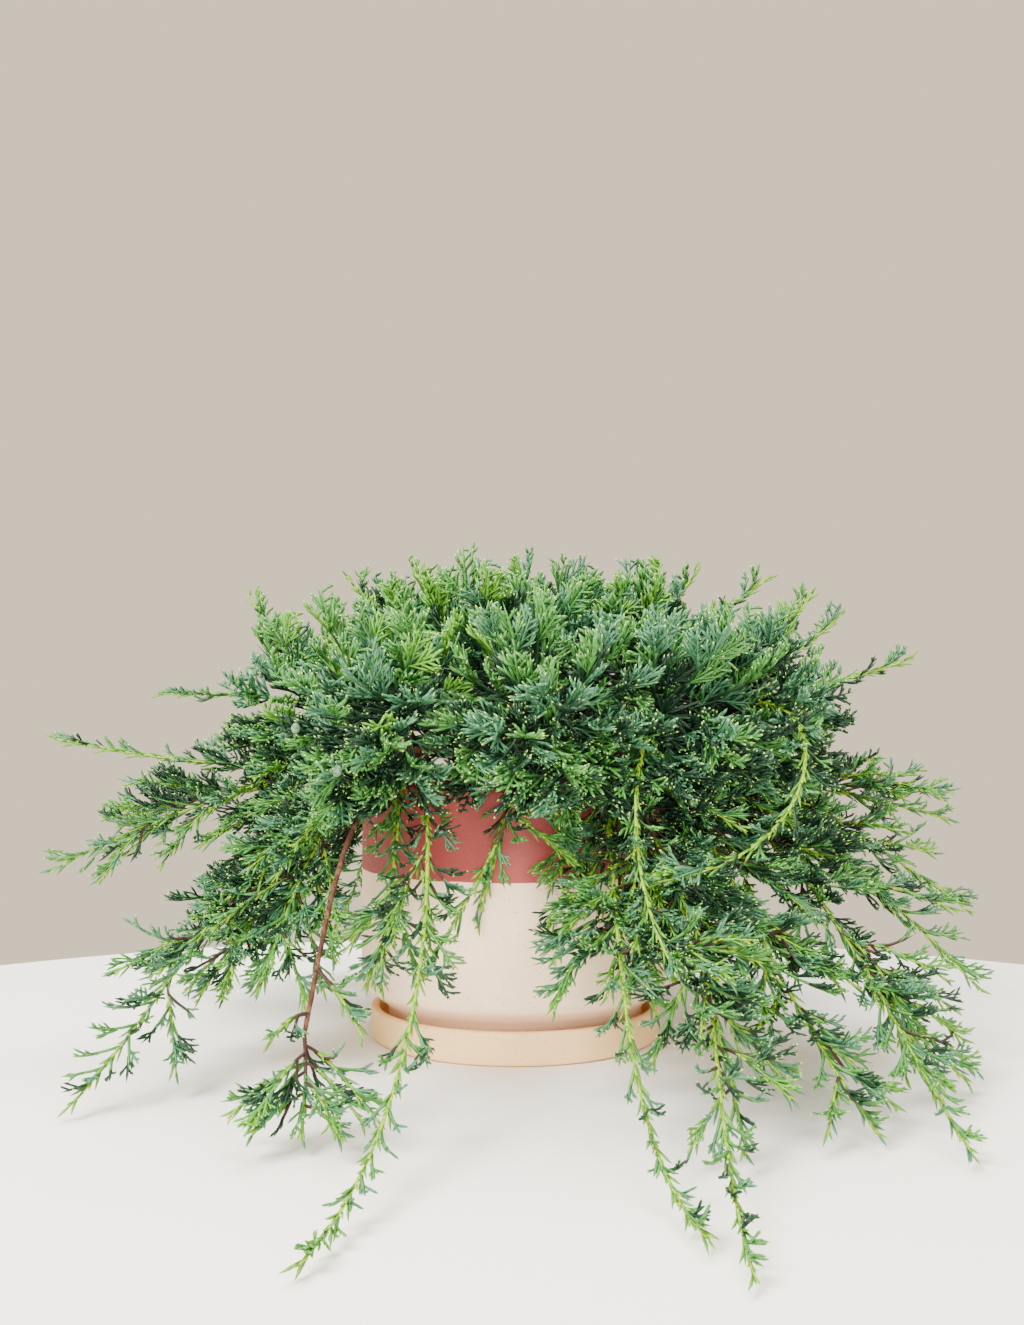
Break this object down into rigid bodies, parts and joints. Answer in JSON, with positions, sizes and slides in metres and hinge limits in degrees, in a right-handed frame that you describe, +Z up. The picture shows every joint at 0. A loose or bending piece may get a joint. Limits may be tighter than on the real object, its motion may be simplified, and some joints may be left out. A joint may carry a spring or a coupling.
{
  "type": "potted shrub",
  "caption": "Low creeping juniper that mounds over the rim of a round two-tone clay pot on a saucer, with long trailing shoots of scaly blue-green foliage.",
  "frame": {"origin": "centre of the saucer's flat underside, on the surface that the pot stands on", "axes": "+Z up, -Y towards the viewer of the picture, +X to the viewer's right"},
  "size_m": [0.611, 0.7375, 0.3185],
  "materials": {
    "pot_clay": "matt",
    "saucer_clay": "matt",
    "potting_mix": "matt",
    "bark": "matt",
    "mound_foliage": "matt",
    "shoot_foliage": "matt"
  },
  "bodies": {
    "root": {"pot": "pot_clay", "saucer": "saucer_clay", "soil": "potting_mix", "trunk": "bark", "bough_bare": "bark", "bough_front": "bark", "bough_front_left": "bark", "bough_front_right": "bark", "bough_inner_1": "bark", "bough_inner_2": "bark", "bough_inner_3": "bark", "bough_inner_4": "bark", "bough_inner_5": "bark", "bough_left": "bark", "bough_rear": "bark", "bough_rear_left": "bark", "bough_rear_right": "bark", "bough_right": "bark", "bough_right_front": "bark", "shoot_front": "shoot_foliage", "shoot_front_long": "shoot_foliage", "shoot_front_right": "shoot_foliage", "shoot_front_right_drape": "shoot_foliage", "shoot_left_drape": "shoot_foliage", "shoot_left_foot": "shoot_foliage", "shoot_left_high": "shoot_foliage", "shoot_left_low": "shoot_foliage", "shoot_left_side": "shoot_foliage", "shoot_rear_1": "shoot_foliage", "shoot_rear_2": "shoot_foliage", "shoot_rear_3": "shoot_foliage", "shoot_rear_left_1": "shoot_foliage", "shoot_rear_left_2": "shoot_foliage", "shoot_rear_left_3": "shoot_foliage", "shoot_rear_right_1": "shoot_foliage", "shoot_rear_right_2": "shoot_foliage", "shoot_rear_right_3": "shoot_foliage", "shoot_right_drape": "shoot_foliage", "shoot_right_high": "shoot_foliage", "shoot_right_low": "shoot_foliage", "shoot_right_side": "shoot_foliage", "shoot_right_tail": "shoot_foliage", "tuft_front": "mound_foliage", "tuft_front_left": "mound_foliage", "tuft_front_right": "mound_foliage", "tuft_inner_1": "mound_foliage", "tuft_inner_2": "mound_foliage", "tuft_inner_3": "mound_foliage", "tuft_inner_4": "mound_foliage", "tuft_inner_5": "mound_foliage", "tuft_left": "mound_foliage", "tuft_rear": "mound_foliage", "tuft_rear_left": "mound_foliage", "tuft_rear_right": "mound_foliage", "tuft_right": "mound_foliage", "tuft_right_front": "mound_foliage", "tuft_top": "mound_foliage"}
  },
  "joints": []
}
